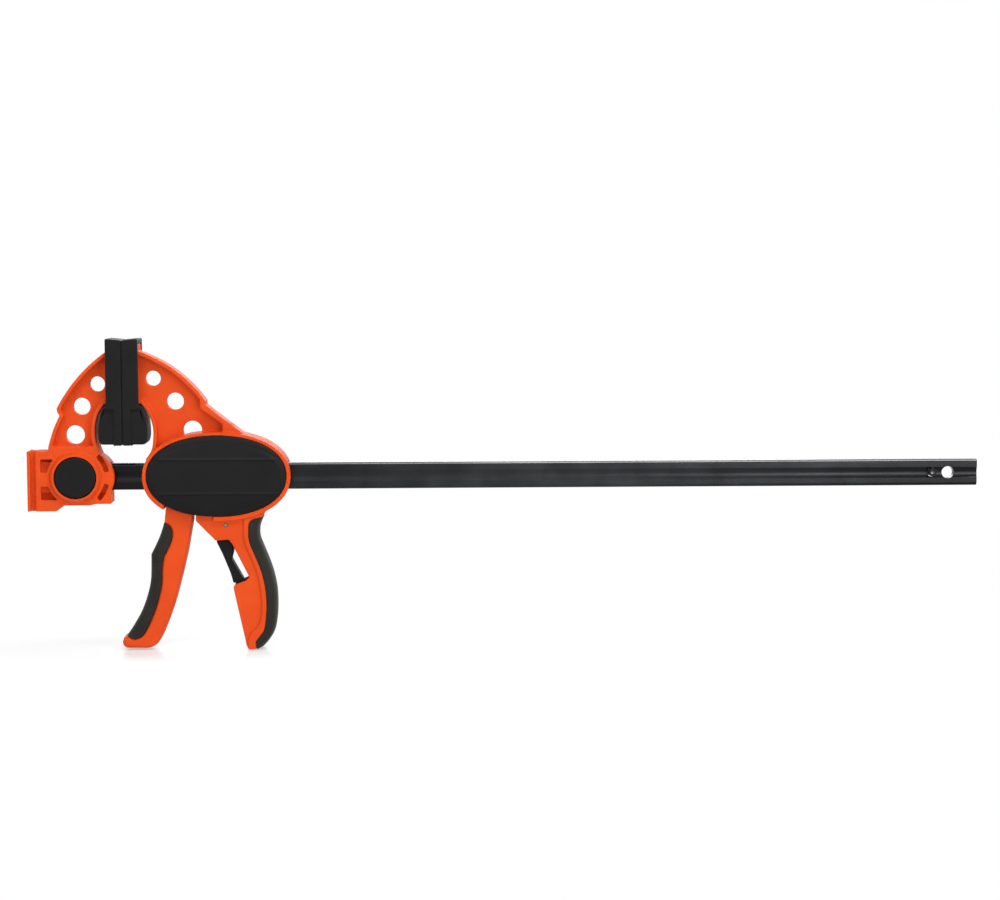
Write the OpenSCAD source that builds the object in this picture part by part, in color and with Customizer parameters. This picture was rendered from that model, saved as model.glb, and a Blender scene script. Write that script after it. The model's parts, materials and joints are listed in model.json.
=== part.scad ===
// Quick release bar clamp: a squeeze-to-close jaw that rides on a steel bar.
// +X runs along the bar, +Z up to the jaws, Y across the clamp, all in millimetres.
// The origin is on the bar's centre line, in the plane where the two pads meet.
// The clamp is drawn closed, with the lever, the trigger and the button let go.

/* [Bar] */
// Height of the bar
bar_h = 19.05; // [18:0.05:20]
// Thickness of the bar
bar_t = 6.35; // [5.5:0.05:6.6]
// Radius of the bar's long edges
bar_edge_r = 2.2; // [0.5:0.1:2.6]
// Width of the shallow groove rolled along each face of the bar
groove_w = 7.6; // [4:0.1:12]
// Depth of that groove
groove_d = 0.8; // [0.2:0.05:1.2]
// Largest opening between the two pads
opening_length = 457.2; // [150:0.1:900]
// Diameter of the hole at each end of the bar
bar_hole_d = 8.8; // [7:0.1:10]
// From the end of the bar to the centre of its hole
bar_hole_in = 21.3; // [17:0.1:24]
// Diameter of the coiled stop pin
stop_pin_d = 6.7; // [4:0.1:8]
// From the stop pin to the hole at the end of the bar
stop_pin_in = 11.6; // [10:0.1:16]
// How far the stop pin stands out of each face of the bar
stop_pin_proud = 3; // [1.5:0.1:5]

/* [Jaw arms] */
// Width of the flange that runs round each arm
arm_w = 18; // [16:0.5:22]
// Thickness of the web inside the flange
web_t = 6; // [3:0.5:10]
// Thickness of the flange
rim_t = 2.6; // [1.5:0.1:3.2]
// Height of the upright column that carries each pad, over the bar's centre line
column_top = 93.9; // [90:0.1:100]
// Lower end of that column
column_foot = 52.2; // [48:0.1:56]
// Thickness of that column
column_t = 5.1; // [4:0.1:5.4]
// Radius of the moving arm's outer edge
moving_arc_r = 92; // [75:1:140]
// Radius of the fixed arm's outer edge
fixed_arc_r = 112; // [80:1:160]
// Diameter of the upper hole in each web
hole_top_d = 10.7; // [6:0.1:11]
// Diameter of the middle hole in each web
hole_mid_d = 12.1; // [6:0.1:13]
// Diameter of the lower hole in each web
hole_low_d = 13.4; // [6:0.1:14]
// Thickness of the fixed jaw's block under its web pockets, over the block's top
pocket_floor_t = 3.5; // [2:0.1:6]

/* [Pads] */
// Thickness of a pad in front of its jaw column
pad_face_t = 5.8; // [4:0.1:8]
// Thickness of a pad with the cheeks that wrap the column
pad_t = 11.3; // [9:0.1:13]
// Width of a pad
pad_w = 30; // [26:0.5:36]
// Thickness of a pad above the top of the column
pad_cap_t = 3.9; // [2:0.1:6]
// How far the top of a pad slopes down towards its face
pad_slope = 1; // [0:0.1:1.5]
// Lower end of a pad, over the bar's centre line
pad_foot = 22.9; // [20:0.1:24]
// Width of the lower lobe behind each pad
lobe_w = 26; // [18:0.5:28]

/* [Fixed jaw block] */
// Width of the block that holds the bar
block_w = 18; // [16:0.5:20]
// From the pads' meeting plane to the centre of the release button
button_in = 33.8; // [32:0.1:36]
// Radius of the block's rounded front, which is its height over the bar's centre line
nose_r = 18.7; // [17.5:0.1:20]
// From the pads' meeting plane to the centre of that rounded front
nose_in = 25.6; // [25:0.1:28]
// Depth of the block's belly below the bar's centre line
block_belly = 19.7; // [19:0.1:21.5]
// Depth of the coupling end below the bar's centre line
block_foot = 23.8; // [22:0.1:26]
// From the pads' meeting plane to the outer face of the coupling flange
flange_in = 67.6; // [66:0.1:70]
// Thickness of the coupling flange
flange_t = 2.1; // [1.5:0.1:3]
// Width of the groove behind the coupling flange
coupling_w = 3.8; // [2.5:0.1:4.5]
// Depth of that groove from each side
coupling_d = 3.5; // [2:0.1:4]
// Outer radius of the raised ring round the button, at the block's face
ring_r = 18.7; // [17.5:0.1:18.7]
// Outer radius of that ring at its lip
ring_lip_r = 16.4; // [16:0.1:17.2]
// Width of the wall round the block's pockets, beside that ring
pocket_wall = 1.4; // [1:0.1:2.5]
// Width of the wall round the block's pockets, inside the rounded front
nose_wall = 3.4; // [2:0.1:5]

/* [Release button] */
// Diameter of the button
button_d = 29; // [26:0.5:30]
// Thickness of the button's face
button_t = 2.6; // [2:0.1:3]
// Radius of the button's rounded edge
button_edge_r = 1.2; // [0.5:0.1:1.6]
// How far the button is pushed in
button_travel = 4; // [3.6:0.1:4.4]
// How deep the lock pin enters the bar
lock_in = 3.5; // [2:0.1:3.6]
// Diameter of the lock pin
lock_pin_d = 8.4; // [6:0.1:8.6]
// Thickness of the bar's wall in the button well
well_wall = 1.7; // [1.2:0.1:2.5]
// Diameter of the bridge plate behind the bar
bridge_d = 28; // [26:0.5:29]
// Thickness of the bridge plate
bridge_t = 2.5; // [2:0.1:3]
// Width of the button's two legs
leg_w = 8; // [5:0.5:10]
// Thickness of the button's two legs
leg_t = 2.4; // [1.8:0.1:2.6]
// Wire diameter of the button's spring
button_wire = 0.8; // [0.5:0.05:0.9]
// Mean radius of the button's conical spring, at its large end
button_spring_r = 9.8; // [8.5:0.1:9.8]
// Mean radius of that spring at its small end
button_spring_tip_r = 6.2; // [5:0.1:7]
// Number of turns of the button's spring
button_turns = 2.5; // [2:0.5:3]

/* [Housing] */
// From the pads' meeting plane to the centre of the oval housing
housing_in = 65; // [64:0.1:70]
// Height of the housing's centre over the bar's centre line
housing_up = 0.5; // [0:0.1:1.5]
// Half length of the housing
housing_a = 51.9; // [50.5:0.1:55]
// Half height of the housing
housing_b = 31.4; // [31:0.1:34]
// Width of the housing's rim
housing_w = 28; // [27:0.5:31]
// Width of the rim that shows at each end of a cover
rim_show = 2.8; // [2:0.1:3.2]
// How far the centre of a cover lies above the centre of the housing
cover_lift = 0.5; // [0:0.1:1]
// Width of the ledge that a cover sits on
ledge_w = 2.8; // [1.5:0.1:3.3]
// Thickness of the two ribs across the housing
rib_t = 2.6; // [2:0.1:3]

/* [Covers] */
// How far a cover stands over the housing's rim
cover_proud = 3; // [2:0.1:4]
// Wall thickness of a cover
cover_t = 2.2; // [1.5:0.1:2.8]
// Half height of the flat band along the middle of a cover
band_h = 11.9; // [8:0.1:16]
// Height of the middle of that band over the bar's centre line
band_up = 2; // [-2:0.1:4]

/* [Squeeze lever] */
// Width of the lever
lever_w = 18.8; // [17:0.1:19]
// Thickness of the two walls of the fork that straddles the bar
fork_wall = 2.2; // [1.5:0.1:2.3]
// Height of the lever's pivot over the bar's centre line
pivot_up = 16; // [15.5:0.1:17]
// Diameter of the lever's pivot pin
pivot_pin_d = 5; // [3:0.1:6]
// Radius of the lever's eyes round that pin
pivot_eye_r = 5.8; // [5:0.1:6]
// Angle that the lever turns through when it is squeezed
lever_swing = 16; // [10:0.5:18]
// How far each grip stands over its handle at the sides
grip_proud = 0.3; // [0.1:0.05:0.6]
// How square the back of a grip is, where 2 is an ellipse
grip_power = 2.7; // [2:0.1:3.5]

/* [Rear handle] */
// Width of the handle
handle_w = 26; // [25:0.5:28]
// Depth of the recessed panel on each side of the handle
panel_d = 1.5; // [0.5:0.1:1.8]
// Width of the raised border between the panel and the grip
border_w = 3.4; // [2:0.1:4]

/* [Release trigger] */
// Width of the trigger
trigger_w = 12.6; // [9:0.1:13]
// Diameter of the trigger's pin
trigger_pin_d = 2.4; // [2:0.1:4]
// Width of the shallow ring sunk round each end of that pin
pin_ring_w = 0.4; // [0.2:0.05:0.6]
// Depth of that ring
pin_ring_d = 0.5; // [0.2:0.1:0.8]
// Radius of the trigger's hub
trigger_hub_r = 4; // [3.2:0.1:4.2]
// Angle that the trigger turns through when it is pulled
trigger_swing = 7; // [4:0.5:7]

/* [Drive] */
// Thickness of the drive plate
drive_t = 3; // [2:0.1:3.5]
// Width of the drive plate
drive_w = 14; // [12:0.1:14.2]
// Radius of the lever's thrust bar
thrust_r = 2.5; // [2:0.1:2.8]
// Wire diameter of the drive spring
drive_wire = 1; // [0.8:0.05:1.1]
// Number of turns of the drive spring
drive_turns = 4.5; // [3:0.5:6]

/* [Brake] */
// Thickness of the brake plate
brake_t = 3; // [2:0.1:3.2]
// Width of the brake plate
brake_w = 16; // [12:0.5:18]
// Angle that the brake plate leans at while it holds the bar
brake_lean = 8; // [6:0.5:8.5]
// Radius of the nose that the brake plate rocks on
brake_nose_r = 1.5; // [1:0.1:1.8]
// Play of the bar in the brake plate's window, above and below
brake_play = 0.6; // [0.55:0.05:0.9]
// Wire diameter of the brake spring
brake_wire = 0.9; // [0.6:0.05:1]
// Mean radius of the brake spring
brake_spring_r = 3.2; // [2.8:0.1:3.6]
// Number of turns of the brake spring
brake_turns = 7; // [5:0.5:9]

/* [Clearances] */
// Gap between the bar and the plastic that slides on it
slide_gap = 0.2; // [0.1:0.05:0.35]
// Gap between the bar and the steel plates round it
plate_gap = 0.3; // [0.2:0.05:0.5]
// Gap beside a part that turns or slides between two walls
side_gap = 0.4; // [0.2:0.05:0.5]
// Gap between a pin and its hole
pin_gap = 0.05; // [0.02:0.01:0.1]
// Gap between parts that push against each other
touch_gap = 0.15; // [0.05:0.05:0.2]
// Gap round a pad or a cover that is pressed in place
seat_gap = 0.1; // [0.05:0.05:0.2]

/* [Hidden] */
$fn = 64;

orange = "#f2561d";
black = "#2b2b2d";
dark_steel = "#35363a";
steel = "#b9bcc0";

// Farther than any side of the clamp, for cuts that pass right through
beyond = 200;
// How far a shape runs into its neighbour, so that the two join
bite = 1;

// The bar's ends and the stop pin follow from the opening that the clamp must reach
stop_gap = 1.6;
button_x = -button_in;
housing_x = housing_in;
stop_pin_x = housing_x + housing_a + opening_length + stop_gap + stop_pin_d / 2;
far_hole_x = stop_pin_x + stop_pin_in;
bar_x0 = button_x - bar_hole_in;
bar_x1 = far_hole_x + bar_hole_in;
groove_r = (groove_w * groove_w / 4 + groove_d * groove_d) / (2 * groove_d);

// The housing's cavity, and the recess that each cover drops into
cover_up = housing_up + cover_lift;
cover_a = housing_a - rim_show;
cover_b = housing_b - rim_show;
cavity_a = cover_a - ledge_w;
cavity_b = cover_b - ledge_w;
ledge_y = lever_w / 2 + side_gap + 2;
cover_y = housing_w / 2 + cover_proud;

// Places inside the housing, along X from its centre
pivot = [-25, pivot_up];
cheek_y = lever_w / 2 + side_gap;
fork_y = lever_w / 2 - fork_wall;
thrust = [pivot[0] + 3.7, pivot_up - 32];
drive_x = thrust[0] + thrust_r + 2 * touch_gap;
drive_top = 13.5;
drive_foot = -19.5;
front_rib_x = 0.6;
brake_nose = [6.5, -bar_h / 2 - 2.2];
brake_reach = brake_nose_r + touch_gap;
brake_top = 19.5;
brake_foot = -23.5;
rear_rib_x = 27;
brake_spring_z = 15;
brake_spring_x = 7.9;
trigger_pivot = [6.1, -34.1];

// Where the button, its well and its spring lie across the block. The spring is a cone,
// so its turns lie inside each other when it is pressed flat.
well_y = bar_t / 2 + slide_gap + well_wall;
ring_y = well_y + button_wire + button_travel + button_t;
button_back_y = ring_y - button_t;
leg_z = bar_h / 2 + slide_gap + 1 + leg_t / 2;
lock_tip_y = bar_t / 2 - lock_in;
bridge_y = well_y + touch_gap;
rivet_r = lock_pin_d / 4;
rivet_proud = 0.6;

// ---- Curves ----

// Points on the arc of radius r from p to q, with its centre on the left when r > 0
function arc(p, q, r, n = 12) =
    let (half = norm(q - p) / 2,
         side = sign(r),
         reach = sqrt(max(r * r - half * half, 0)),
         mid = (p + q) / 2,
         centre = mid + side * reach * [p[1] - q[1], q[0] - p[0]] / (2 * half),
         start = atan2(p[1] - centre[1], p[0] - centre[0]),
         turn = 2 * asin(half / abs(r)) * side)
    [for (i = [0:n]) centre + abs(r) * [cos(start + turn * i / n), sin(start + turn * i / n)]];

// A smooth curve through a few points
function curve_at(a, b, c, d, t) =
    (2 * b + (c - a) * t + (2 * a - 5 * b + 4 * c - d) * t * t
     + (3 * b - a - 3 * c + d) * t * t * t) / 2;
function smooth(pts, n = 5) =
    let (last = len(pts) - 1)
    [for (i = [0:last - 1], j = [0:n - 1])
        curve_at(pts[max(i - 1, 0)], pts[i], pts[i + 1], pts[min(i + 2, last)], j / n),
     pts[last]];

// A point of the superellipse of this power, at an angle: 2 is a circle, more is squarer
function squarish(angle, power) =
    [for (v = [cos(angle), sin(angle)]) sign(v) * pow(abs(v), 2 / power)];

// The oval of the housing, a little squarer than an ellipse
oval_power = 2.17;
function oval(a, b, up, n = 96) =
    [for (i = [0:n - 1]) let (p = squarish(360 * i / n, oval_power)) [a * p[0], up + b * p[1]]];

// A point of the side view turned about another, from +X towards +Z
function turned(p, c, angle) =
    let (d = p - c)
    c + [d[0] * cos(angle) - d[1] * sin(angle), d[0] * sin(angle) + d[1] * cos(angle)];

// ---- Building blocks ----

// A shape drawn in X and Z, thick from y0 to y1
module slab(y0, y1) {
    translate([0, y1, 0]) rotate([90, 0, 0]) linear_extrude(y1 - y0) children();
}

// The same shape on both sides of the clamp
module both_sides() {
    children();
    mirror([0, 1, 0]) children();
}

// A pin or hole across the clamp at a point of the side view
module across(p, r, y0, y1) {
    translate([p[0], y1, p[1]]) rotate([90, 0, 0]) cylinder(r = r, h = y1 - y0);
}

// The passage that the bar slides in
module bar_passage(x0, x1, gap) {
    translate([x0, -bar_t / 2 - gap, -bar_h / 2 - gap])
        cube([x1 - x0, bar_t + 2 * gap, bar_h + 2 * gap]);
}

module at_housing() {
    translate([housing_x, 0, 0]) children();
}

// A skin over closed sections that all have the same number of points
module skin(sections) {
    last = len(sections) - 1;
    n = len(sections[0]);
    points = [for (s = sections, p = s) p];
    walls = [for (i = [0:last - 1], j = [0:n - 1])
        let (k = (j + 1) % n)
        [i * n + j, (i + 1) * n + j, (i + 1) * n + k, i * n + k]];
    ends = [[for (j = [0:n - 1]) j], [for (j = [n - 1:-1:0]) last * n + j]];
    polyhedron(points, concat(walls, ends), convexity = 10);
}

// A round wire wound about the X axis, from one mean radius to another
module coil(start_r, end_r, wire, length, turns, steps = 18, sides = 6) {
    rings = round(turns * steps);
    skin([for (i = [0:rings])
        let (a = 360 * turns * i / rings,
             r = start_r + (end_r - start_r) * i / rings,
             x = wire / 2 + (length - wire) * i / rings)
        [for (j = [0:sides - 1])
            let (b = 360 * j / sides, rr = r + wire / 2 * cos(b))
            [x - wire / 2 * sin(b), rr * cos(a), rr * sin(a)]]]);
}

// A rubber grip: at each station a D, flat on the seam and rounded out to the back
module grip(seam, back, half_w, steps = 16) {
    skin([for (i = [0:len(seam) - 1])
        [for (j = [0:steps])
            let (d = squarish(-90 + 180 * j / steps, grip_power),
                 p = seam[i] + (back[i] - seam[i]) * d[0])
            [p[0], half_w * d[1], p[1]]]]);
}

// ---- Bar ----

module bar_section() {
    difference() {
        union() {
            square([bar_h - 2 * bar_edge_r, bar_t], center = true);
            square([bar_h, bar_t - 2 * bar_edge_r], center = true);
            for (x = [-1, 1], y = [-1, 1])
                translate([x * (bar_h / 2 - bar_edge_r), y * (bar_t / 2 - bar_edge_r)])
                    circle(bar_edge_r);
        }
        for (y = [-1, 1])
            translate([0, y * (bar_t / 2 - groove_d + groove_r)]) circle(groove_r);
    }
}

module bar() {
    color(dark_steel)
    difference() {
        translate([bar_x0, 0, 0]) rotate([90, 0, 90]) rotate(90)
            linear_extrude(bar_x1 - bar_x0) bar_section();
        across([button_x, 0], bar_hole_d / 2, -bar_t, bar_t);
        across([far_hole_x, 0], bar_hole_d / 2, -bar_t, bar_t);
        across([stop_pin_x, 0], stop_pin_d / 2, -bar_t, bar_t);
    }
}

// A pin rolled from strip: a spiral with a little air between its turns
module stop_pin() {
    strip = stop_pin_d * 0.1;
    turns = 2.2;
    steps = 40;
    outer_r = stop_pin_d / 2;
    lead = strip * 1.15;
    edge = [for (i = [0:steps]) let (a = 360 * turns * i / steps, r = outer_r - lead * a / 360)
        [r * cos(a), r * sin(a)]];
    inner = [for (i = [steps:-1:0]) let (a = 360 * turns * i / steps, r = outer_r - lead * a / 360 - strip)
        [r * cos(a), r * sin(a)]];
    color(dark_steel) translate([stop_pin_x, 0, 0])
        slab(-bar_t / 2 - stop_pin_proud, bar_t / 2 + stop_pin_proud)
            polygon(concat(edge, inner));
}

// ---- Jaw arms ----

// Side view of the moving arm, from the housing up to its column
throat_moving = smooth([[12.6, column_foot], [17, 46.3], [20.3, 37.6], [20.9, 29.5], [19.6, 19.5], [15.5, 13]]);
arm_shoulder_z = 89;
column_back = pad_face_t + seat_gap + column_t;
function moving_arm() = concat(
    [[15.5, 2], [90, 2], [90, 26], [62.8, 46.8], [57.7, 51.1]],
    arc([57.7, 53.6], [column_back, arm_shoulder_z], moving_arc_r),
    [[column_back, column_top], [pad_face_t + seat_gap, column_top],
     [pad_face_t + seat_gap, column_foot]],
    throat_moving);

// Side view of the fixed arm, from its column down to the block
function fixed_arm() = concat(
    [[-pad_face_t - seat_gap, column_foot], [-pad_face_t - seat_gap, column_top],
     [-column_back, column_top]],
    arc([-column_back, arm_shoulder_z], [-46.2, 48.8], fixed_arc_r),
    [[-45.8, 46.2], [-44.2, 43.9]],
    smooth([[-44.2, 43.9], [-47.3, 37.5], [-49.9, 30.6], [-52.5, 21.7]]),
    [[-52.5, 12], [-16.2, 12]],
    smooth([[-16.2, 16.5], [-18.7, 23.4], [-19.7, 28], [-19.8, 33.3], [-19.2, 39.6], [-17.5, 45],
            [-14.7, 49.4], [-12.6, column_foot]]));

// The web's holes, from the top of the arm down
moving_holes = [[20.7, 69.6, hole_top_d], [36.0, 53.4, hole_mid_d], [47.9, 32.8, hole_low_d]];
fixed_holes = [[-18.4, 65.7, hole_top_d], [-29.5, 50, hole_mid_d], [-34.4, 29.9, hole_low_d]];

// The moving arm's slanted rim grows thicker towards the housing, and its pocket ends there
slant_top = [53.9, 48.5];
slant_end = [69.3, 37.5];

// The pockets on both sides of a web, above floor_z, without the children's shapes
module web_pockets(outline, floor_z) {
    both_sides() slab(web_t / 2, arm_w)
        difference() {
            offset(delta = -rim_t) polygon(outline);
            translate([-beyond, floor_z - beyond]) square([2 * beyond, beyond]);
            children();
        }
}

module web_holes(holes) {
    for (h = holes)
        across([h[0], h[1]], h[2] / 2, -arm_w, arm_w);
}

// ---- Pads ----

// A rubber boot over the jaw column, drawn for the jaw on the +X side
module jaw_pad() {
    face = touch_gap;
    top = column_top + seat_gap + pad_cap_t;
    floor_t = 4;
    cheek_foot = column_foot - seat_gap - floor_t;
    lobe_foot = pad_foot + 0.6;
    lobe_top = 51;
    lobe = concat([[pad_face_t - bite, lobe_foot], [14.8, lobe_foot]],
        smooth([[16, lobe_foot + 0.9], [16.9, 27.8], [17.1, 32.5], [16.7, 38.1], [15.9, 42.8],
                [14, 47.9], [11.6, lobe_top]]),
        [[pad_face_t - bite, lobe_top]]);
    color(black)
    difference() {
        union() {
            slab(-pad_w / 2, pad_w / 2)
                polygon([[face, pad_foot], [pad_face_t, pad_foot], [pad_face_t, cheek_foot],
                         [pad_t, cheek_foot], [pad_t, top], [face, top - pad_slope]]);
            slab(-lobe_w / 2, lobe_w / 2) polygon(lobe);
        }
        translate([pad_face_t, -arm_w / 2 - seat_gap, column_foot - seat_gap])
            cube([beyond, arm_w + 2 * seat_gap, column_top - column_foot + 2 * seat_gap]);
    }
}

module moving_jaw_pad() {
    jaw_pad();
}

module fixed_jaw_pad() {
    mirror([1, 0, 0]) jaw_pad();
}

// ---- Fixed jaw ----

// Side view of the block: the coupling end, the belly, the heel and the rounded front
module block_outline() {
    heel_x = -9.2;
    polygon([[-flange_in, nose_r], [-flange_in, -block_foot], [-47.6, -block_foot],
             [-42.2, -block_belly], [-24.3, -block_belly], [-19.8, -nose_r], [heel_x, -nose_r],
             [heel_x, 0], [-nose_in, nose_r]]);
    translate([-nose_in, 0]) circle(nose_r);
}

// A wedge of the plane between two angles about the origin
module wedge(from, to) {
    polygon([[0, 0], beyond * [cos(from), sin(from)], beyond * [cos(to), sin(to)]]);
}

// Pockets cored out of the block: two behind the button's ring and two in front of it
module block_pockets() {
    difference() {
        union() {
            for (window = [[-58.3, 3.3, 13], [-58.1, -15.8, -6.3]])
                translate([window[0], window[1]])
                    square([button_x - window[0], window[2] - window[1]]);
            intersection() {
                translate([-nose_in, 0]) circle(nose_r - nose_wall);
                translate([button_x, 0]) {
                    wedge(10.3, 47.5);
                    wedge(-48, -15.5);
                }
            }
        }
        translate([button_x, 0]) circle(ring_r + pocket_wall);
    }
}

module fixed_jaw() {
    well_r = button_d / 2 + side_gap;
    bridge_r = bridge_d / 2 + side_gap;
    color(orange)
    difference() {
        union() {
            slab(-arm_w / 2, arm_w / 2) polygon(fixed_arm());
            slab(-block_w / 2, block_w / 2) block_outline();
            // Raised ring, which narrows to its lip
            both_sides() translate([button_x, block_w / 2, 0]) rotate([-90, 0, 0])
                cylinder(r1 = ring_r, r2 = ring_lip_r, h = ring_y - block_w / 2);
        }
        web_pockets(fixed_arm(), nose_r + pocket_floor_t);
        web_holes(fixed_holes);
        // T-slot coupling down the back of the block
        both_sides() translate([-flange_in + flange_t, block_w / 2 - coupling_d, -beyond / 2])
            cube([coupling_w, block_w, beyond]);
        both_sides() slab(well_y, block_w) block_pockets();
        bar_passage(bar_x0 - slide_gap, 0, slide_gap);
        // Well for the button in front, and for the bridge plate behind
        across([button_x, 0], well_r, -block_w, -well_y);
        across([button_x, 0], bridge_r, well_y, block_w);
        across([button_x, 0], lock_pin_d / 2 + side_gap, 0, well_y + bite);
        for (z = [-leg_z, leg_z])
            translate([button_x - leg_w / 2 - side_gap, -well_y - bite, z - leg_t / 2 - side_gap])
                cube([leg_w + 2 * side_gap, 2 * (well_y + bite), leg_t + 2 * side_gap]);
    }
}

// ---- Release button ----

// Face and two legs in one moulding, the legs pass above and below the bar
module release_button() {
    color(black) translate([button_x, 0, 0]) {
        translate([0, -ring_y, 0]) rotate([-90, 0, 0]) rotate_extrude()
            union() {
                translate([0, button_edge_r]) square([button_d / 2, button_t - button_edge_r]);
                square([button_d / 2 - button_edge_r, button_t]);
                translate([button_d / 2 - button_edge_r, button_edge_r]) circle(button_edge_r, $fn = 32);
            }
        for (z = [-leg_z, leg_z])
            translate([-leg_w / 2, -button_back_y - bite, z - leg_t / 2])
                cube([leg_w, button_back_y + bite + bridge_y, leg_t]);
    }
}

// Plate behind the bar that ties the legs to the lock pin
module lock_bridge() {
    color(black)
    difference() {
        across([button_x, 0], bridge_d / 2, bridge_y, bridge_y + bridge_t);
        across([button_x, 0], rivet_r + pin_gap, 0, block_w);
    }
}

// Steel pin with a shoulder, riveted through the bridge plate
module lock_pin() {
    color(steel) {
        across([button_x, 0], lock_pin_d / 2, lock_tip_y, bridge_y);
        across([button_x, 0], rivet_r, lock_tip_y + bite, bridge_y + bridge_t + rivet_proud);
    }
}

module button_spring() {
    color(steel) translate([button_x, -well_y - touch_gap, 0]) rotate([0, 0, -90])
        coil(button_spring_r, button_spring_tip_r, button_wire,
             button_back_y - well_y - 2 * touch_gap, button_turns);
}

// ---- Clamp body ----

// Outlines below are drawn from the housing's centre.
// Notch in the handle's front that the trigger stands in
notch_floor = [[19.6, -74], [12, -76.8], [11, -78.6]];
trigger_notch = concat([[-1.2, -45], [8.2, -44.4], [10.5, -47.6], [22.3, -71.3]], notch_floor);
cheek_corner = [-14.9, -30.8];
// Front edge of the handle under the trigger
handle_front = smooth([[11, -78.6], [12.3, -85], [15.1, -98], [18.6, -114], [20, -120.5], [21.6, -123]]);
// The seam between the handle and its grip, and the grip's back beside it, both going up
seam_points = [[27.1, -122.6], [26.6, -117.6], [28.9, -114.2], [32.6, -108.6], [34.1, -98],
               [34.3, -88], [33.3, -77.5], [30.7, -66.5], [26.4, -55.5], [22.9, -46.8],
               [22, -38.2], [23.6, -30.9], [31.7, -28.3]];
handle_seam = smooth(seam_points, 4);
handle_back = smooth([[28.2, -123.2], [31.9, -121.7], [36.7, -116.2], [40.1, -109.6], [41.7, -100],
                      [42.1, -90.5], [41.6, -80.5], [39.8, -70.7], [36.8, -61], [33, -51.4],
                      [29.9, -43], [30, -35.5], [32.5, -28.9]], 4);

function handle_outline() = concat(
    [[cheek_corner[0], -20], cheek_corner], trigger_notch, handle_front, handle_seam,
    [[37, -20.5], [37, -16]]);

// The panel sunk into each side of the handle, with a border along the grip's seam
function panel_outline() = concat(
    [[-1.5, -10], [-40, -10], [-40, -130], [20.5, -130]],
    smooth(concat([[21.4, -117.5], [22.6, -112], [28.4, -105.5]],
                  [for (i = [4:10]) seam_points[i] - [border_w, 0]], [[18.8, -31]])),
    [[19.6, -28.1], [-1.5, -29.5]]);

// The mouth that the lever comes out of, as far back as its edge swings when squeezed
lever_edge_top = [-17.4, -31];
mouth = [-37, turned(lever_edge_top, pivot, lever_swing)[0] + 3.2];
mouth_top = -10;
// Space between the cheeks for the lever and the trigger
cheek_space = concat(
    [[-30, -15], [mouth[1], -15], [mouth[1], -31.8], [17.8, -31.8], [19.4, -46], [24.5, -59], [28, -69]],
    notch_floor, [[-30, -102]]);
// Slot in the housing's floor for the trigger's arm
arm_slot = [4, 19];
arm_slot_z = [-37, -22];
// Slot in the handle for the trigger's tail, as far back as the tail swings
trigger_tail = [17.4, -82.6];
tail_slot = [12.6, turned(trigger_tail, trigger_pivot, trigger_swing)[0] + 2];
tail_slot_z = [trigger_tail[1] - 4, -70];

module housing_shell() {
    difference() {
        slab(-housing_w / 2, housing_w / 2) polygon(oval(housing_a, housing_b, housing_up));
        translate([mouth[0], -housing_w, mouth_top - beyond])
            cube([mouth[1] - bite - mouth[0], 2 * housing_w, beyond]);
    }
}

module cavity() {
    slab(-housing_w, housing_w) polygon(oval(cavity_a, cavity_b, cover_up));
}

module in_cavity() {
    intersection() {
        slab(-ledge_y, ledge_y) polygon(oval(cavity_a + bite, cavity_b + bite, cover_up));
        children();
    }
}

// Walls beside the lever that hold its pivot pin, and the tops of the handle's cheeks
module inner_cheeks() {
    in_cavity() both_sides() slab(cheek_y, ledge_y) {
        translate([pivot[0] - 8, pivot_up - 8]) square([16, 30]);
        translate([cheek_corner[0], -35]) square([front_rib_x - cheek_corner[0] + bite, 15]);
    }
}

module rib(x) {
    in_cavity() translate([x, -ledge_y, -beyond / 2]) cube([rib_t, 2 * ledge_y, beyond]);
}

// Rib that the drive spring pushes on, with the nose that the brake plate rocks on
module front_rib() {
    rib(front_rib_x);
    across(brake_nose, brake_nose_r, -brake_w / 2, brake_w / 2);
    slab(-brake_w / 2, brake_w / 2)
        translate([front_rib_x + bite, brake_nose[1] - brake_nose_r])
            square([brake_nose[0] - front_rib_x - bite, 2 * brake_nose_r]);
}

// Rib behind the brake, with the spigot that holds the brake spring
module rear_rib() {
    spigot = 4;
    rib(rear_rib_x);
    translate([rear_rib_x - spigot, 0, brake_spring_z]) rotate([0, 90, 0])
        cylinder(r = brake_spring_r - brake_wire / 2 - side_gap, h = spigot + bite);
}

// The arm and the housing in one piece, hollow for the lever and the plates
module arm_and_housing() {
    difference() {
        union() {
            slab(-arm_w / 2, arm_w / 2) polygon(moving_arm());
            at_housing() housing_shell();
        }
        at_housing() cavity();
        web_pockets(moving_arm(), 0) {
            translate([housing_x, 0]) polygon(oval(housing_a, housing_b, housing_up));
            polygon([slant_top, slant_end, [slant_end[0], 0], [beyond, 0], [beyond, beyond],
                     [slant_top[0], beyond]]);
        }
        web_holes([moving_holes[0], moving_holes[1]]);
        // The lowest hole ends at the housing's rim
        difference() {
            web_holes([moving_holes[2]]);
            at_housing() slab(-beyond, beyond) polygon(oval(housing_a, housing_b, housing_up));
        }
    }
}

module rear_handle() {
    difference() {
        slab(-handle_w / 2, handle_w / 2) polygon(handle_outline());
        cavity();
        both_sides() slab(handle_w / 2 - panel_d, handle_w) polygon(panel_outline());
    }
}

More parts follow.
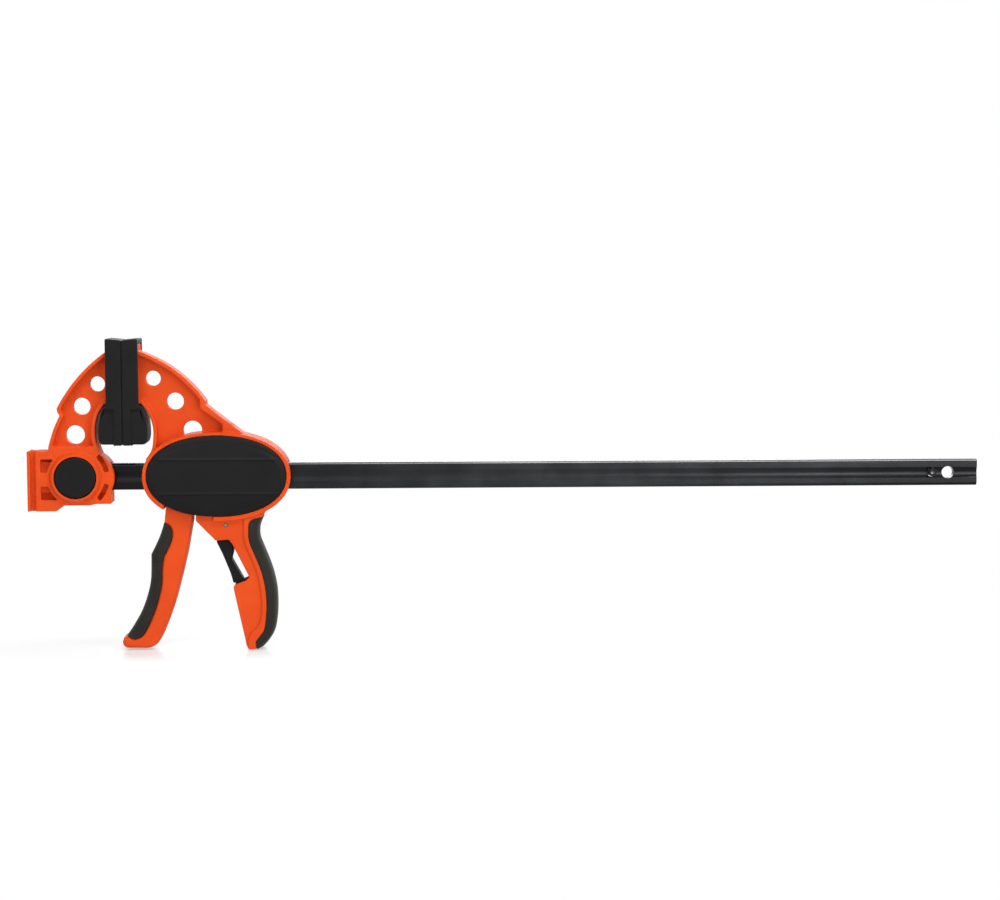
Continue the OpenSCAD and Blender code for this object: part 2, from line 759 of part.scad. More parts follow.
module clamp_body() {
    rim_y = handle_w / 2 - panel_d;
    color(orange)
    difference() {
        union() {
            arm_and_housing();
            at_housing() {
                rear_handle();
                inner_cheeks();
                front_rib();
                rear_rib();
            }
        }
        at_housing() {
            both_sides() slab(ledge_y, housing_w)
                polygon(oval(cover_a + seat_gap, cover_b + seat_gap, cover_up));
            slab(-cheek_y, cheek_y) polygon(cheek_space);
            across(trigger_pivot, trigger_hub_r + side_gap, -cheek_y, cheek_y);
            translate([arm_slot[0], -fork_y, arm_slot_z[0]])
                cube([arm_slot[1] - arm_slot[0], 2 * fork_y, arm_slot_z[1] - arm_slot_z[0]]);
            translate([tail_slot[0], -fork_y, tail_slot_z[0]])
                cube([tail_slot[1] - tail_slot[0], 2 * fork_y, tail_slot_z[1] - tail_slot_z[0]]);
            across(pivot, pivot_pin_d / 2 + pin_gap, -housing_w, housing_w);
            across(trigger_pivot, trigger_pin_d / 2 + pin_gap, -housing_w, housing_w);
            both_sides() across(trigger_pivot, trigger_pin_d / 2 + pin_ring_w, rim_y - pin_ring_d, housing_w);
            bar_passage(-housing_a - bite, housing_a + bite, slide_gap);
        }
    }
}

// ---- Covers ----

// Hollow shell with a bevelled edge and a flat band along its middle
module cover() {
    edge_up = 0.3;
    bevel = [[1.6, 5.5], [3, 6]];
    band_step = 1;
    color(black) at_housing()
    difference() {
        hull() {
            slab(ledge_y + seat_gap, housing_w / 2 + edge_up) polygon(oval(cover_a, cover_b, cover_up));
            slab(housing_w / 2, cover_y - band_step)
                polygon(oval(cover_a - bevel[0][0], cover_b - bevel[0][1], cover_up));
            slab(housing_w / 2, cover_y)
                intersection() {
                    polygon(oval(cover_a - bevel[1][0], cover_b - bevel[1][1], cover_up));
                    translate([-cover_a, band_up - band_h]) square([2 * cover_a, 2 * band_h]);
                }
        }
        slab(0, cover_y - band_step - cover_t) polygon(oval(cavity_a, cavity_b, cover_up));
    }
}

module rear_cover() {
    cover();
}

module front_cover() {
    mirror([0, 1, 0]) cover();
}

// ---- Grips ----

module handle_grip() {
    color(black) at_housing() grip(handle_seam, handle_back, handle_w / 2 + grip_proud);
}

// Side view of the lever, from the housing's centre, going down: the seam behind its grip
// and the grip's face, in two stretches that meet at a kink
grip_kink = [[-38.2, -56.6], [-47.5, -55.4]];
lever_seam_top = smooth([[-37.2, -32.4], [-33.2, -35.6], [-32, -40.2], [-33.2, -46.5], grip_kink[0]], 4);
lever_seam_low = smooth([grip_kink[0], [-39.4, -65], [-39.8, -75], [-41.8, -85.2], [-45, -95.4],
                         [-49.5, -105.6], [-53.8, -112.8], [-59.4, -115.5]], 4);
lever_face_top = smooth([[-38, -33], [-39.4, -37.2], [-41.3, -42.5], [-43.9, -48.3], grip_kink[1]], 4);
lever_face_low = smooth([grip_kink[1], [-47.6, -64.4], [-48.2, -74.8], [-50.8, -85.6], [-54.8, -96.2],
                         [-60.2, -105.8], [-63.2, -110.4], [-65.3, -113.4]], 4);

// Two stretches in a row, without the point that they share
function joined(first, second) = concat(first, [for (i = [1:len(second) - 1]) second[i]]);

// The edge that faces the handle, going up from the lever's tip
lever_tip = concat([[-65.3, -113.4], [-67.4, -115]], arc([-67.8, -116.9], [-63.5, -121.9], 4.2, 5));
lever_edge = joined(arc([-51, -122], [-41.6, -116.8], 11, 8),
                    smooth([[-41.6, -116.8], [-37.8, -108.8], [-31.5, -91.9], [-26.6, -74.6],
                            [-22.4, -57.4], [-20.6, -48.8], lever_edge_top]));

function lever_outline() = concat(
    [[pivot[0] - pivot_eye_r, pivot_up], [-34, -8], [-36.2, -23.2]],
    joined(lever_seam_top, lever_seam_low), lever_tip, lever_edge,
    [[-18, -22], [-18.6, -8], [pivot[0] + pivot_eye_r, pivot_up]]);

module lever_grip() {
    color(black) at_housing()
        grip(joined(lever_seam_top, lever_seam_low), joined(lever_face_top, lever_face_low),
             lever_w / 2 + grip_proud);
}

// ---- Squeeze lever ----

// A solid lever whose top is a fork that straddles the bar up to the pivot pin. A notch
// behind the thrust bar clears the foot of the drive plate.
module squeeze_lever() {
    fork_foot = -13;
    notch = [drive_x - 4, drive_foot - 5];
    color(orange) at_housing()
    difference() {
        union() {
            difference() {
                slab(-lever_w / 2, lever_w / 2) {
                    polygon(lever_outline());
                    translate(pivot) circle(pivot_eye_r);
                    translate(thrust) circle(thrust_r);
                }
                slab(-fork_y, fork_y) {
                    translate([-beyond, fork_foot]) square([2 * beyond, beyond]);
                    translate(notch) square([beyond, fork_foot - notch[1] + bite]);
                }
            }
            across(thrust, thrust_r, -fork_y - bite, fork_y + bite);
        }
        across(pivot, pivot_pin_d / 2 + pin_gap, -lever_w, lever_w);
    }
}

// ---- Pins ----

module pin(p, d, length) {
    chamfer = d * 0.1;
    color(steel) at_housing() {
        across(p, d / 2, -length / 2 + chamfer, length / 2 - chamfer);
        across(p, d / 2 - chamfer, -length / 2, length / 2);
    }
}

module lever_pivot_pin() {
    pin(pivot, pivot_pin_d, 2 * ledge_y - 0.4);
}

module trigger_pin() {
    pin(trigger_pivot, trigger_pin_d, handle_w - 2 * panel_d + 0.2);
}

// ---- Drive ----

module drive_plate() {
    color(steel) at_housing()
    difference() {
        translate([drive_x, -drive_w / 2, drive_foot]) cube([drive_t, drive_w, drive_top - drive_foot]);
        bar_passage(-housing_a, housing_a, plate_gap);
    }
}

module drive_spring() {
    spring_r = norm([bar_h, bar_t]) / 2 + slide_gap + drive_wire / 2;
    x0 = drive_x + drive_t + touch_gap;
    color(steel) at_housing() translate([x0, 0, 0])
        coil(spring_r, spring_r, drive_wire, front_rib_x - touch_gap - x0, drive_turns, steps = 24);
}

// ---- Brake ----

// The plate lies against the nose and turns about the nose's centre. It sits low enough
// for the bar to stay in the middle of its window while it leans.
module brake_plate() {
    color(steel) at_housing()
    translate([brake_nose[0], 0, brake_nose[1]]) rotate([0, -brake_lean, 0])
    translate([brake_reach, 0, -brake_nose[1] - brake_reach * tan(brake_lean)])
    difference() {
        translate([0, -brake_w / 2, brake_foot]) cube([brake_t, brake_w, brake_top - brake_foot]);
        translate([-bite, -bar_t / 2 - plate_gap, -bar_h / 2 - brake_play])
            cube([brake_t + 2 * bite, bar_t + 2 * plate_gap, bar_h + 2 * brake_play]);
    }
}

module brake_spring() {
    color(steel) at_housing() translate([brake_spring_x, 0, brake_spring_z])
        coil(brake_spring_r, brake_spring_r, brake_wire, rear_rib_x - touch_gap - brake_spring_x,
             brake_turns, steps = 16);
}

// ---- Release trigger ----

// Finger piece below the pin, and an arm above it that pushes the brake plate's tail
module release_trigger() {
    tip_r = 2;
    tip_z = -21.2;
    plate_back = brake_nose[0] + (brake_reach + brake_t) / cos(brake_lean)
        + (brake_nose[1] - tip_z) * tan(brake_lean);
    tip = [plate_back + 3 * touch_gap + tip_r, tip_z];
    finger = concat(
        smooth([[-1, -46.6], [2.4, -53.6], [5.8, -61.7], [8.8, -69.5], [10.6, -76.2]]),
        [[14.2, -75.9], [14.4, -83.5], trigger_tail, [18.4, -75], [9.6, -59.2], [11, -53.5],
         [10.6, -49], [9.2, -43]],
        [trigger_pivot + [trigger_hub_r, 0], trigger_pivot - [trigger_hub_r, 0]]);
    arm = [trigger_pivot + [0, -trigger_hub_r], trigger_pivot + [trigger_hub_r + 1, -1],
           [tip[0] + tip_r, -28], [tip[0] + tip_r, tip[1]], [tip[0] - tip_r, tip[1]],
           [tip[0] - tip_r - 0.2, -26.5], trigger_pivot + [-1, trigger_hub_r - 0.2]];
    color(black) at_housing()
    difference() {
        union() {
            slab(-trigger_w / 2, trigger_w / 2) {
                polygon(finger);
                polygon(arm);
                translate(tip) circle(tip_r);
            }
            across(trigger_pivot, trigger_hub_r, -lever_w / 2, lever_w / 2);
        }
        across(trigger_pivot, trigger_pin_d / 2 + pin_gap, -lever_w, lever_w);
    }
}

bar();
stop_pin();
fixed_jaw();
fixed_jaw_pad();
release_button();
lock_bridge();
lock_pin();
button_spring();
clamp_body();
moving_jaw_pad();
front_cover();
rear_cover();
handle_grip();
squeeze_lever();
lever_grip();
lever_pivot_pin();
drive_plate();
drive_spring();
brake_plate();
brake_spring();
release_trigger();
trigger_pin();
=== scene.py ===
# %% [markdown]
# # A quick release bar clamp
# This lesson dresses a clamp whose solids already exist: a steel bar, two orange nylon
# jaws with rubber pads, a squeeze lever, a handle with a trigger and a few steel pieces.
# The solids load first, each on the body that it moves with. Every later cell adds light, a
# finish or a softer edge to them and leaves them where they are.

# %% Load the clamp
import json
import math

import bmesh
import bpy
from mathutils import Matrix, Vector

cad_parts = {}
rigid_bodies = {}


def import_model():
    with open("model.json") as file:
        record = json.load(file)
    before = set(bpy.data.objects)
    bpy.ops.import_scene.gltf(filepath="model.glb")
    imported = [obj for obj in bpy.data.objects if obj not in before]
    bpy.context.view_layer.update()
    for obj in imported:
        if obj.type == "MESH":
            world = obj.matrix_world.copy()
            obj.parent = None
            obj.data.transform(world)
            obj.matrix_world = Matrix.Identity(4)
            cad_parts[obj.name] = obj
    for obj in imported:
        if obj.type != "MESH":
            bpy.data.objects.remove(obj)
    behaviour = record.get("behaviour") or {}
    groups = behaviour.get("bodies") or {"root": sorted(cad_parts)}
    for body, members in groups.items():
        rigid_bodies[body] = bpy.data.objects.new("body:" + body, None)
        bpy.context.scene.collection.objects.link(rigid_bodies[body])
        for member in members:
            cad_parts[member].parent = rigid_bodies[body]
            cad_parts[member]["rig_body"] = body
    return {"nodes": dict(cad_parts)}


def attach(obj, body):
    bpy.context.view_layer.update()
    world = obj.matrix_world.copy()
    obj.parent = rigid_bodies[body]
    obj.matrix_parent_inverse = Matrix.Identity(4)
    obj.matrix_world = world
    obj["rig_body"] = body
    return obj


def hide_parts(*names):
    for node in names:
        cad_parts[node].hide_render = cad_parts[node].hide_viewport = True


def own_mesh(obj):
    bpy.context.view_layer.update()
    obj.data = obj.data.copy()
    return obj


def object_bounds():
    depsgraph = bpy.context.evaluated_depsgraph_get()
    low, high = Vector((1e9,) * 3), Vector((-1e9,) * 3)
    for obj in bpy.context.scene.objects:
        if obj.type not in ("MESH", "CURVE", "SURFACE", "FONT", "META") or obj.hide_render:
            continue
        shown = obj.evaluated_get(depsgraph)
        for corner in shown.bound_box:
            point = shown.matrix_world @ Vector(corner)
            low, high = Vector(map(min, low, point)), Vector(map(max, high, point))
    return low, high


MM = 0.001
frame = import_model()
nodes = frame["nodes"]
cad_low, cad_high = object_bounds()
print("pieces:", len(nodes), "size in mm:", [round(v / MM) for v in cad_high - cad_low])

# %% [markdown]
# ## Camera
# A short lens close by would make the near end of a clamp two feet long look fat. A long
# lens from well back keeps its proportions, so the camera stands a metre and a half away, a
# little above the bar, and looks almost straight across the clamp. Its turn and tilt are in
# degrees, and its sensor is a full-frame one.

# %% Camera
CAMERA_TURN = -3.1735
CAMERA_TILT = 4.992
CAMERA_DISTANCE = 1431.93 * MM
LOOK_AT = (266.0 * MM, 0.0, 17.44 * MM)
LENS_MM = 72
SENSOR_MM = 36

turn, tilt = math.radians(CAMERA_TURN), math.radians(CAMERA_TILT)
camera = bpy.data.objects.new("camera", bpy.data.cameras.new("camera"))
bpy.context.scene.collection.objects.link(camera)
camera.data.lens = LENS_MM
camera.data.sensor_width = SENSOR_MM
camera.data.clip_start = 50 * MM
camera.location = (
    LOOK_AT[0] + CAMERA_DISTANCE * math.sin(turn) * math.cos(tilt),
    LOOK_AT[1] - CAMERA_DISTANCE * math.cos(turn) * math.cos(tilt),
    LOOK_AT[2] + CAMERA_DISTANCE * math.sin(tilt),
)
camera.rotation_euler = (math.radians(90) - tilt, 0, turn)
bpy.context.scene.camera = camera
bpy.context.scene.view_settings.view_transform = "Standard"
print("camera at", [round(v, 3) for v in camera.location])

# %% [markdown]
# ## Colours and nodes
# Colours are easiest to pick as hex values, as on a screen. Blender's sockets take linear
# light, so one function converts them. A second one adds a shader node, sets its
# properties and fills its inputs, where an input is a value or another node's output.

# %% Colour and node helpers
def linear(hex_colour):
    """The linear colour, with alpha 1, of an sRGB hex value such as #ff8000."""
    parts = [int(hex_colour[i:i + 2], 16) / 255 for i in (1, 3, 5)]
    return (*[p / 12.92 if p <= 0.04045 else ((p + 0.055) / 1.055) ** 2.4 for p in parts], 1)


def add(tree, kind, settings, inputs):
    """Adds a shader node. Inputs are named or numbered; a socket given as a value is linked."""
    node = tree.nodes.new("ShaderNode" + kind)
    for name, value in settings.items():
        setattr(node, name, value)
    for name, value in inputs.items():
        if isinstance(value, bpy.types.NodeSocket):
            tree.links.new(value, node.inputs[name])
        else:
            node.inputs[name].default_value = value
    return node


print("orange nylon in linear light:", [round(c, 3) for c in linear("#da4b14")[:3]])

# %% [markdown]
# ## Floor and backdrop
# The clamp stands on its two tips on a white sweep. A fully lit white room would wash out
# the black rubber and the orange. So the sweep and the world behind are plain white only to
# the camera and in mirrors and glass, and the light that reaches the clamp stays low enough
# for each colour to show as it is written.

# %% White seen directly
def seen_directly(tree):
    """1 for a ray from the camera, or one that a mirror or glass has passed on, else 0."""
    rays = add(tree, "LightPath", {}, {})
    mirror = add(tree, "Math", {"operation": "MAXIMUM"},
                 {0: rays.outputs["Is Camera Ray"], 1: rays.outputs["Is Glossy Ray"]})
    both = add(tree, "Math", {"operation": "MAXIMUM"},
               {0: mirror.outputs[0], 1: rays.outputs["Is Transmission Ray"]})
    return both.outputs[0]


# %% World
WORLD_FILL = 0.2

world = bpy.data.worlds.new("studio")
bpy.context.scene.world = world
world.use_nodes = True
tree = world.node_tree
tree.nodes.clear()
fill = add(tree, "Background", {}, {"Color": (1, 1, 1, 1), "Strength": WORLD_FILL})
white = add(tree, "Background", {}, {"Color": (1, 1, 1, 1), "Strength": 1})
mix = add(tree, "MixShader", {}, {"Fac": seen_directly(tree), 1: fill.outputs[0], 2: white.outputs[0]})
add(tree, "OutputWorld", {}, {"Surface": mix.outputs[0]})
print("world fill strength:", WORLD_FILL)

# %% [markdown]
# The floor under the tips is white paint with a little shine, which takes their soft shadow
# and a faint mirror image. A few inches away the paint gives way to plain white. The change
# is an oval, three times as long along the bar as it is deep, like the shadow itself.

# %% Floor paint
TIPS_MIDDLE = (18 * MM, 0, 0)
FADE_FROM, FADE_TO = 60 * MM, 170 * MM
PLAIN_AT_TIPS = 0.4

floor_paint = bpy.data.materials.new("white_studio_floor")
floor_paint.use_nodes = True
tree = floor_paint.node_tree
tree.nodes.clear()
paint = add(tree, "BsdfPrincipled", {}, {
    "Base Color": linear("#fafafa"), "Roughness": 0.25, "Specular IOR Level": 0.3})
glow = add(tree, "Emission", {}, {"Color": (1, 1, 1, 1), "Strength": 1})
place = add(tree, "NewGeometry", {}, {}).outputs["Position"]
flat = add(tree, "VectorMath", {"operation": "MULTIPLY"}, {0: place, 1: (1, 3, 0)}).outputs[0]
away = add(tree, "VectorMath", {"operation": "DISTANCE"}, {0: flat, 1: TIPS_MIDDLE}).outputs["Value"]
plain = add(tree, "MapRange", {"interpolation_type": "SMOOTHSTEP"}, {
    "Value": away, "From Min": FADE_FROM, "From Max": FADE_TO, "To Min": PLAIN_AT_TIPS, "To Max": 1})
share = add(tree, "Math", {"operation": "MULTIPLY"}, {0: seen_directly(tree), 1: plain.outputs[0]})
mix = add(tree, "MixShader", {}, {"Fac": share.outputs[0], 1: paint.outputs[0], 2: glow.outputs[0]})
add(tree, "OutputMaterial", {}, {"Surface": mix.outputs[0]})
print("floor paint nodes:", len(tree.nodes))

# %% Floor
FLOOR_DROP = 0.3 * MM
FLOOR_REACH = 12

level = cad_low.z - FLOOR_DROP
corners = [(-1, -1), (1, -1), (1, 1), (-1, 1)]
floor_mesh = bpy.data.meshes.new("floor")
floor_mesh.from_pydata([(FLOOR_REACH * x, FLOOR_REACH * y, level) for x, y in corners], [], [(0, 1, 2, 3)])
floor_mesh.materials.append(floor_paint)
floor = bpy.data.objects.new("floor", floor_mesh)
bpy.context.scene.collection.objects.link(floor)
print("floor at", round(level / MM, 1), "mm")

# %% [markdown]
# ## Light
# Small lamps would put hard glints on satin nylon, so every light is a large soft box. One
# hangs overhead and draws a bright line along each edge that faces up. The one low on the
# right does most of the work on the faces towards the camera. A weak one on the left and one
# in front open the shadows in the webs, and one behind lights the rims of the round holes.

# %% Soft boxes
def soft_box(name, place, aim, width, height, watts):
    """A rectangular area light at place that faces aim, all in metres."""
    lamp = bpy.data.lights.new(name, "AREA")
    lamp.shape = "RECTANGLE"
    lamp.size, lamp.size_y, lamp.energy = width, height, watts
    box = bpy.data.objects.new(name, lamp)
    bpy.context.scene.collection.objects.link(box)
    box.location = place
    direction = [a - p for a, p in zip(aim, place)]
    flat = math.hypot(direction[0], direction[1])
    box.rotation_euler = (math.atan2(flat, -direction[2]), 0,
                          math.atan2(direction[1], direction[0]) - math.pi / 2)


middle = (0.2, 0, 0)
soft_box("overhead_box", (0.4, -0.6, 1.1), middle, 1.6, 0.4, 14)
soft_box("left_box", (-1.0, -0.8, 0.4), middle, 0.5, 0.8, 2)
soft_box("right_box", (1.2, -1.5, 0.13), (0.2, 0, 0.13), 0.9, 0.45, 11)
soft_box("front_box", (-0.5, -1.6, 0.5), middle, 0.9, 0.9, 4)
soft_box("back_box", (0.3, 1.4, 0.6), middle, 1.0, 0.8, 9)
print("lamps:", len(bpy.data.lights))

# %% [markdown]
# ## Patterns with a real size
# Each pattern is a noise texture on the clamp's own metres. Its scale is one over the size of
# a blotch, so the size can be written in millimetres. A noise factor stays near 0.3 to 0.7,
# and that range is stretched to whatever the pattern changes.

# %% Pattern scale and a new material
NOISE_RANGE = {"From Min": 0.3, "From Max": 0.7}


def blotches(size_mm):
    """The scale of a noise texture whose blotches are about size_mm across."""
    return 1 / (size_mm * MM)


def new_material(name):
    """A material, its empty node tree and the point of the surface in metres."""
    material = bpy.data.materials.new(name)
    material.use_nodes = True
    tree = material.node_tree
    tree.nodes.clear()
    return material, tree, add(tree, "TexCoord", {}, {}).outputs["Object"]


print("scale of 0.5 mm grain:", blotches(0.5))

# %% [markdown]
# ## Nylon
# The jaws, housing, handle and lever are moulded in glass-filled nylon, orange or black. The
# mould was spark eroded, which leaves a fine even grain, about 0.2 mm across. That is too
# fine to show at this distance, so it is drawn at 0.5 mm. The grain breaks the highlight up
# and makes the plastic satin. Its mirror image of the white room would turn black nylon grey,
# so the specular level is low. The colour drifts a little where the plastic flowed, and where
# two halves of the mould met, a thin line runs along the middle.

# %% Moulded nylon
FLOW_MM = 26
RUB_MM = 9
GRAIN_MM = 0.5
GRAIN_DEPTH_MM = 0.02
SEAM_MM = 0.25


def moulded_nylon(name, light_hex, dark_hex, dull, shine, seam=False):
    """light_hex and dark_hex are its flow marks, dull its roughness, seam its mould line."""
    material, tree, point = new_material(name)
    flow = add(tree, "TexNoise", {}, {"Vector": point, "Scale": blotches(FLOW_MM), "Detail": 3})
    tone = add(tree, "MapRange", {}, {"Value": flow.outputs["Fac"], **NOISE_RANGE})
    colour = add(tree, "Mix", {"data_type": "RGBA"}, {
        "Factor": tone.outputs["Result"], 6: linear(dark_hex), 7: linear(light_hex)})
    rub = add(tree, "TexNoise", {}, {"Vector": point, "Scale": blotches(RUB_MM), "Detail": 4})
    roughness = add(tree, "MapRange", {}, {
        "Value": rub.outputs["Fac"], **NOISE_RANGE, "To Min": dull - 0.05, "To Max": dull + 0.07})
    grain = add(tree, "TexNoise", {}, {"Vector": point, "Scale": blotches(GRAIN_MM), "Detail": 1})
    height = grain.outputs["Fac"]
    if seam:
        across = add(tree, "SeparateXYZ", {}, {"Vector": point}).outputs["Y"]
        away = add(tree, "Math", {"operation": "ABSOLUTE"}, {0: across}).outputs[0]
        line = add(tree, "MapRange", {}, {
            "Value": away, "From Min": 0, "From Max": SEAM_MM * MM, "To Min": 1.5, "To Max": 0})
        height = add(tree, "Math", {"operation": "ADD"}, {0: height, 1: line.outputs["Result"]}).outputs[0]
    bump = add(tree, "Bump", {}, {"Height": height, "Distance": GRAIN_DEPTH_MM * MM, "Strength": 1.0})
    shader = add(tree, "BsdfPrincipled", {}, {
        "Base Color": colour.outputs[2],
        "Roughness": roughness.outputs["Result"],
        "IOR": 1.53,
        "Specular IOR Level": shine,
        "Normal": bump.outputs["Normal"],
    })
    add(tree, "OutputMaterial", {}, {"Surface": shader.outputs[0]})
    return material


orange_nylon = moulded_nylon("glass_filled_nylon_orange", "#da4b14", "#d04411", 0.56, 0.14, seam=True)
black_nylon = moulded_nylon("glass_filled_nylon_black", "#121212", "#0e0e0f", 0.48, 0.12)
print("nylon:", orange_nylon.name, black_nylon.name)

# %% [markdown]
# ## Rubber
# The grips are a soft thermoplastic rubber moulded over the nylon, and the pads are push-on
# boots. Rubber is black with carbon, so it has little colour of its own, and its fine matt
# skin spreads the light. A little sheen does that at the edges, where a plain rough surface
# would go dead. Handling polishes the rubber in patches, and there it is smoother.

# %% Rubber
PATCH_MM = 14
SKIN_MM = 0.6


def rubber(name, light_hex, dark_hex, skin_depth_mm, dull):
    """Matt black rubber; where handling has polished it, it is lighter and less rough."""
    material, tree, point = new_material(name)
    patches = add(tree, "TexNoise", {}, {"Vector": point, "Scale": blotches(PATCH_MM), "Detail": 4})
    tone = add(tree, "MapRange", {}, {"Value": patches.outputs["Fac"], **NOISE_RANGE})
    colour = add(tree, "Mix", {"data_type": "RGBA"}, {
        "Factor": tone.outputs["Result"], 6: linear(dark_hex), 7: linear(light_hex)})
    roughness = add(tree, "MapRange", {}, {
        "Value": patches.outputs["Fac"], **NOISE_RANGE, "To Min": dull + 0.05, "To Max": dull - 0.07})
    skin = add(tree, "TexNoise", {}, {"Vector": point, "Scale": blotches(SKIN_MM), "Detail": 2})
    bump = add(tree, "Bump", {}, {"Height": skin.outputs["Fac"], "Distance": skin_depth_mm * MM})
    shader = add(tree, "BsdfPrincipled", {}, {
        "Base Color": colour.outputs[2],
        "Roughness": roughness.outputs["Result"],
        "IOR": 1.5,
        "Specular IOR Level": 0.12,
        "Sheen Weight": 0.05,
        "Sheen Roughness": 0.5,
        "Normal": bump.outputs["Normal"],
    })
    add(tree, "OutputMaterial", {}, {"Surface": shader.outputs[0]})
    return material


grip_rubber = rubber("thermoplastic_rubber_grip", "#262420", "#201e1b", 0.03, 0.62)
pad_rubber = rubber("moulded_rubber_pad", "#141414", "#101010", 0.02, 0.6)
print("rubber:", grip_rubber.name, pad_rubber.name)

# %% [markdown]
# ## Steel
# The bar is cold rolled and black oxided: a dark film over steel, with rolling lines along
# its length. Light and shade are painted into its colour: painted shade darkens it beside the
# fixed jaw and towards its far end, it is lighter between, and a painted highlight runs along
# its top corner. One mask along the bar and one up its height draw that painted light.

# %% Painted shade and highlight on the bar
# Painted shade by the fixed jaw fades out over the first pair of places, painted shade comes in towards
# the far end over the second, and a painted highlight fills the corner band.
JAW_SHADE_FADES_FROM, JAW_SHADE_FADES_TO = -20 * MM, 260 * MM
END_SHADE_FROM, END_SHADE_TO = 350 * MM, 580 * MM
CORNER_FROM, CORNER_TO = 7.9 * MM, 8.9 * MM
LIGHT_LEFT_AT_FAR_END = 0.1
CORNER_HIGHLIGHT = 0.35


def oxide_with_painted_light(tree, point, colour):
    """The oxide's colour with painted light: painted shade near both ends, lighter between, a painted
    highlight on the top corner.
    """
    split = add(tree, "SeparateXYZ", {}, {"Vector": point})
    along, up = split.outputs["X"], split.outputs["Z"]
    out_of_jaw_shade = add(tree, "MapRange", {}, {
        "Value": along, "From Min": JAW_SHADE_FADES_FROM, "From Max": JAW_SHADE_FADES_TO}).outputs["Result"]
    out_of_end_shade = add(tree, "MapRange", {}, {
        "Value": along, "From Min": END_SHADE_FROM, "From Max": END_SHADE_TO, "To Min": 1, "To Max": LIGHT_LEFT_AT_FAR_END})
    share = add(tree, "Math", {"operation": "MULTIPLY"}, {0: out_of_jaw_shade, 1: out_of_end_shade.outputs["Result"]})
    # Painted shade: the oxide goes to near black at the jaw end and towards the far end.
    film = add(tree, "Mix", {"data_type": "RGBA"}, {
        "Factor": share.outputs[0], 6: linear("#1c1c1d"), 7: colour})
    corner = add(tree, "MapRange", {}, {
        "Value": up, "From Min": CORNER_FROM, "From Max": CORNER_TO, "To Min": 0, "To Max": CORNER_HIGHLIGHT})
    painted_highlight = add(tree, "Math", {"operation": "MULTIPLY"}, {0: out_of_jaw_shade, 1: corner.outputs["Result"]})
    # Painted highlight: a pale grey along the bar's top corner.
    lit_and_shaded = add(tree, "Mix", {"data_type": "RGBA"}, {
        "Factor": painted_highlight.outputs[0], 6: film.outputs[2], 7: linear("#a0a2a4")})
    return lit_and_shaded.outputs[2]


print("bar palest at", round(JAW_SHADE_FADES_TO / MM), "to", round(END_SHADE_FROM / MM), "mm")

# %% [markdown]
# Pins are zinc plated, the two plates are hardened and ground, and the springs are drawn
# wire. They share one recipe with the bar. Metal has no colour under its reflection, so the
# base colour is the tint of the mirror and roughness blurs it. Rolling, grinding and drawing
# all leave lines, which are a noise stretched fifty times along one axis.

# %% Steel
STAIN_MM = 22
LINE_STRETCH = 0.02


def steel(name, light_hex, dark_hex, line_mm, line_depth_mm, dull, along="X", painted_light=None):
    """Steel with lines drawn along one axis, line_mm apart. The last argument paints light and shade into
    its colour.
    """
    material, tree, point = new_material(name)
    stretch = [LINE_STRETCH if axis == along else 1.0 for axis in "XYZ"]
    drawn = add(tree, "Mapping", {}, {"Vector": point, "Scale": stretch}).outputs["Vector"]
    lines = add(tree, "TexNoise", {}, {"Vector": drawn, "Scale": blotches(line_mm), "Detail": 3})
    roughness = add(tree, "MapRange", {}, {
        "Value": lines.outputs["Fac"], **NOISE_RANGE, "To Min": dull - 0.06, "To Max": dull + 0.06})
    bump = add(tree, "Bump", {}, {"Height": lines.outputs["Fac"], "Distance": line_depth_mm * MM})
    stains = add(tree, "TexNoise", {}, {"Vector": point, "Scale": blotches(STAIN_MM), "Detail": 4})
    tone = add(tree, "MapRange", {}, {"Value": stains.outputs["Fac"], **NOISE_RANGE})
    colour = add(tree, "Mix", {"data_type": "RGBA"}, {
        "Factor": tone.outputs["Result"], 6: linear(dark_hex), 7: linear(light_hex)}).outputs[2]
    shader = add(tree, "BsdfPrincipled", {}, {
        "Base Color": painted_light(tree, point, colour) if painted_light else colour,
        "Metallic": 1.0,
        "Roughness": roughness.outputs["Result"],
        "Normal": bump.outputs["Normal"],
    })
    add(tree, "OutputMaterial", {}, {"Surface": shader.outputs[0]})
    return material


oxide_steel = steel("black_oxide_rolled_steel", "#3a3b3d", "#2d2e30", 0.8, 0.01, 0.27, painted_light=oxide_with_painted_light)
zinc_steel = steel("zinc_plated_steel_pin", "#c2c3c4", "#b4b6b8", 0.3, 0.004, 0.3, along="Y")
plate_steel = steel("hardened_ground_steel", "#8d8e90", "#7f8082", 0.3, 0.006, 0.35, along="Y")
wire_steel = steel("drawn_spring_wire", "#9fa0a2", "#909193", 0.4, 0.003, 0.3)
print("steel:", oxide_steel.name, zinc_steel.name, plate_steel.name, wire_steel.name)

# %% [markdown]
# ## Softer edges
# No moulded or rolled edge is a knife edge, and it is the line of light along an edge that
# makes a piece look real. The solids are sharp. So each one that shows gets a copy with
# rounded edges, which rides on the same body and stands for the solid.

# %% Copies of a solid
DOUBLED = 0.002 * MM


def copy_of(node, name):
    """An object for a solid's copy and a bmesh of its mesh, whose doubled points are joined."""
    work = bmesh.new()
    work.from_mesh(nodes[node].data)
    bmesh.ops.remove_doubles(work, verts=work.verts, dist=DOUBLED)
    piece = bpy.data.objects.new(name, bpy.data.meshes.new(name))
    bpy.context.scene.collection.objects.link(piece)
    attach(piece, nodes[node]["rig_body"])
    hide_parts(node)
    return piece, work


def settle(piece, work, material):
    """Writes the bmesh to the object, smooth and in one material."""
    work.to_mesh(piece.data)
    work.free()
    piece.data.materials.clear()
    piece.data.materials.append(material)
    piece.data.shade_smooth()


